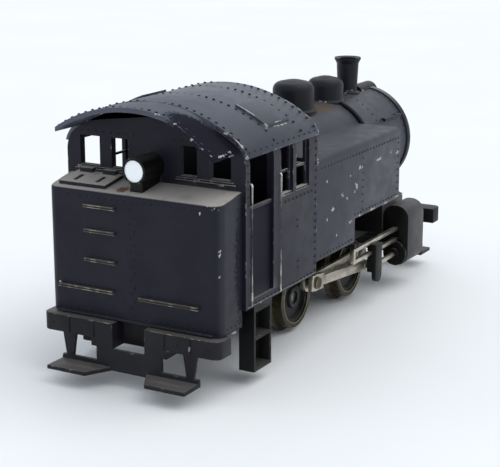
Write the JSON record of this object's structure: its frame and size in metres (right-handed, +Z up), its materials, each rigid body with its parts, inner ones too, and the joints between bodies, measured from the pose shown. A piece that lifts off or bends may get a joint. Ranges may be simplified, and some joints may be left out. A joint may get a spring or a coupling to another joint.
{
  "type": "model steam locomotive",
  "caption": "Small side-tank steam switcher in HO scale: cab with arched roof and rear bunker, domes, chimney, coupled drivers with rods and an open-frame motor inside.",
  "frame": {"origin": "on the rail plane under the middle of the locomotive, midway between the two footboards", "axes": "+X towards the smokebox (front), +Y to the locomotive's left, +Z up"},
  "size_m": [0.101, 0.0364, 0.0465],
  "materials": {
    "body_paint": "matte black paint",
    "chassis_metal": "blackened die-cast metal",
    "nickel": "dull nickel plate",
    "tyre_metal": "tarnished nickel brass",
    "wheel_grey": "dark oxide",
    "steel": "plain steel",
    "brass": "machined brass",
    "copper": "enamelled copper",
    "magnet_metal": "cast magnet alloy",
    "fibre": "brown fibre",
    "carbon": "carbon",
    "lens": "translucent white"
  },
  "bodies": {
    "chassis_and_shell": {"axle_bushes": "brass", "body_screws": "steel", "boiler_and_tanks": "body_paint", "brush_holders": "fibre", "brushes": "carbon", "bunker_hatch": "body_paint", "bunker_rungs": "body_paint", "cab_and_bunker": "body_paint", "cab_grab_irons": "body_paint", "cab_roof": "body_paint", "cab_steps": "chassis_metal", "chassis_frame": "chassis_metal", "chassis_screws": "steel", "chimney": "body_paint", "cylinder_casting": "chassis_metal", "cylinder_covers": "chassis_metal", "front_headlight": "body_paint", "front_headlight_lens": "lens", "front_pilot": "chassis_metal", "guide_bars": "nickel", "guide_yoke": "nickel", "keeper_plate": "chassis_metal", "motor_bearings": "brass", "motor_bracket_front": "steel", "motor_bracket_rear": "steel", "motor_magnet": "magnet_metal", "pole_pieces": "steel", "rear_headlight": "body_paint", "rear_headlight_lens": "lens", "rear_pilot": "chassis_metal", "roof_hatches": "body_paint", "sand_dome": "body_paint", "sand_pipes": "body_paint", "smokebox_door": "body_paint", "smokebox_front": "body_paint", "smokebox_rails": "body_paint", "steam_dome": "body_paint"},
    "rear_wheelset": {"rear_axle": "steel", "rear_wheel_centres": "wheel_grey", "rear_tyres": "tyre_metal", "rear_crankpins": "steel", "worm_wheel": "brass"},
    "front_wheelset": {"front_axle": "steel", "front_wheel_centres": "wheel_grey", "front_tyres": "tyre_metal", "front_crankpins": "steel"},
    "armature": {"motor_shaft": "steel", "armature_core": "steel", "armature_windings": "copper", "commutator": "copper", "worm": "brass"},
    "side_rod_right": {"side_rod_right": "nickel"},
    "side_rod_left": {"side_rod_left": "nickel"},
    "main_rod_right": {"main_rod_right": "nickel"},
    "main_rod_left": {"main_rod_left": "nickel"},
    "crosshead_right": {"crosshead_right": "chassis_metal", "piston_rod_right": "nickel"},
    "crosshead_left": {"crosshead_left": "chassis_metal", "piston_rod_left": "nickel"}
  },
  "joints": [
    {"name": "rear_axle_spin", "type": "hinge", "parent": "chassis_and_shell", "child": "rear_wheelset", "pos_m": [-0.0063, 0, 0.0066], "axis": [0, 1, 0], "continuous": true},
    {"name": "front_axle_spin", "type": "hinge", "parent": "chassis_and_shell", "child": "front_wheelset", "pos_m": [0.0166, 0, 0.0066], "axis": [0, 1, 0], "continuous": true},
    {"name": "motor_spin", "type": "hinge", "parent": "chassis_and_shell", "child": "armature", "pos_m": [-0.023, 0, 0.0126], "axis": [1, 0, 0], "continuous": true},
    {"name": "side_rod_right_pivot", "type": "hinge", "parent": "rear_wheelset", "child": "side_rod_right", "pos_m": [-0.0044, -0.0113, 0.00942], "axis": [0, 1, 0], "continuous": true},
    {"name": "main_rod_right_pivot", "type": "hinge", "parent": "rear_wheelset", "child": "main_rod_right", "pos_m": [-0.0044, -0.01295, 0.00942], "axis": [0, 1, 0], "continuous": true},
    {"name": "side_rod_left_pivot", "type": "hinge", "parent": "rear_wheelset", "child": "side_rod_left", "pos_m": [-0.00348, 0.0113, 0.0047], "axis": [0, 1, 0], "continuous": true},
    {"name": "main_rod_left_pivot", "type": "hinge", "parent": "rear_wheelset", "child": "main_rod_left", "pos_m": [-0.00348, 0.01295, 0.0047], "axis": [0, 1, 0], "continuous": true},
    {"name": "crosshead_right_slide", "type": "slide", "parent": "chassis_and_shell", "child": "crosshead_right", "axis": [1, 0, 0], "range_m": [-0.00523, 0.00158]},
    {"name": "crosshead_left_slide", "type": "slide", "parent": "chassis_and_shell", "child": "crosshead_left", "axis": [1, 0, 0], "range_m": [-0.00607, 0.00073]}
  ],
  "couplings": [
    {"joint": "front_axle_spin", "follows": "rear_axle_spin", "ratio": 1},
    {"joint": "motor_spin", "follows": "rear_axle_spin", "ratio": 28},
    {"joint": "side_rod_right_pivot", "follows": "rear_axle_spin", "ratio": -1},
    {"joint": "main_rod_right_pivot", "follows": "rear_axle_spin", "ratio": -1},
    {"joint": "side_rod_left_pivot", "follows": "rear_axle_spin", "ratio": -1},
    {"joint": "main_rod_left_pivot", "follows": "rear_axle_spin", "ratio": -1}
  ]
}
